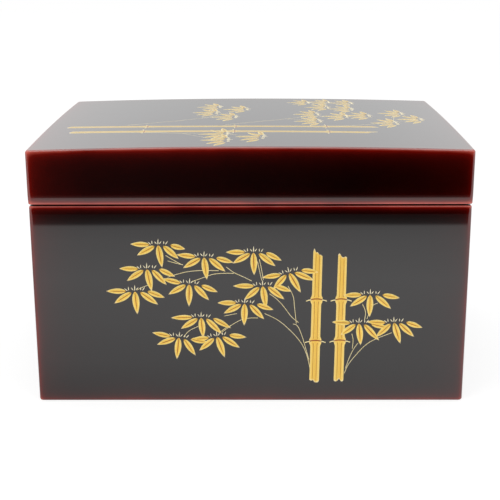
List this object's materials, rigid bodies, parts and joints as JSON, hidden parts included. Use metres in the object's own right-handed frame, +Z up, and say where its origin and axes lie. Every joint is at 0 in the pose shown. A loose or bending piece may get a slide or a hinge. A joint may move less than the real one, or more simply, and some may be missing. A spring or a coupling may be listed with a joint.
{
  "type": "lidded box",
  "caption": "Lacquered rectangular box for tea utensils, with a cover lid that has a low crown, a lip inside the rim and a tray that hangs on ledges.",
  "frame": {"origin": "centre of the underside, on the surface that the box stands on", "axes": "+Z up through the crown of the lid, +X along the length to the right of the decorated front, and the front faces -Y"},
  "size_m": [0.218, 0.1666, 0.1332],
  "materials": {
    "outer_lacquer": "wood under dark translucent lacquer over red, polished to a mirror",
    "inner_lacquer": "wood under black lacquer, satin gloss",
    "tray_lacquer": "wood under black lacquer, gloss",
    "key_wood": "planed, under the lacquer",
    "peg_bamboo": "split bamboo, under the lacquer",
    "sprinkled_gold": "gold powder sprinkled on low lacquer relief, burnished"
  },
  "bodies": {
    "box_body": {"body_front_board": "outer_lacquer", "body_right_board": "outer_lacquer", "body_back_board": "outer_lacquer", "body_left_board": "outer_lacquer", "body_bottom_board": "outer_lacquer", "body_corner_keys": "key_wood", "body_bottom_pegs": "peg_bamboo", "lip_front_board": "inner_lacquer", "lip_right_board": "inner_lacquer", "lip_back_board": "inner_lacquer", "lip_left_board": "inner_lacquer", "rail_front": "inner_lacquer", "rail_back": "inner_lacquer", "rail_left": "inner_lacquer", "rail_right": "inner_lacquer"},
    "lid": {"lid_front_board": "outer_lacquer", "lid_right_board": "outer_lacquer", "lid_back_board": "outer_lacquer", "lid_left_board": "outer_lacquer", "lid_top_board": "outer_lacquer", "lid_corner_keys": "key_wood", "lid_top_pegs": "peg_bamboo"},
    "tray": {"tray_front_wall": "tray_lacquer", "tray_right_wall": "tray_lacquer", "tray_back_wall": "tray_lacquer", "tray_left_wall": "tray_lacquer", "tray_bottom_board": "tray_lacquer", "tray_corner_keys": "key_wood"}
  },
  "joints": [
    {"name": "lid_lift", "type": "slide", "parent": "box_body", "child": "lid", "axis": [0, 0, 1], "range_m": [0, 0.15]},
    {"name": "tray_lift", "type": "slide", "parent": "box_body", "child": "tray", "axis": [0, 0, 1], "range_m": [0, 0.06]}
  ],
  "couplings": [
    {"joint": "tray_lift", "follows": "lid_lift", "ratio": 0.4}
  ]
}
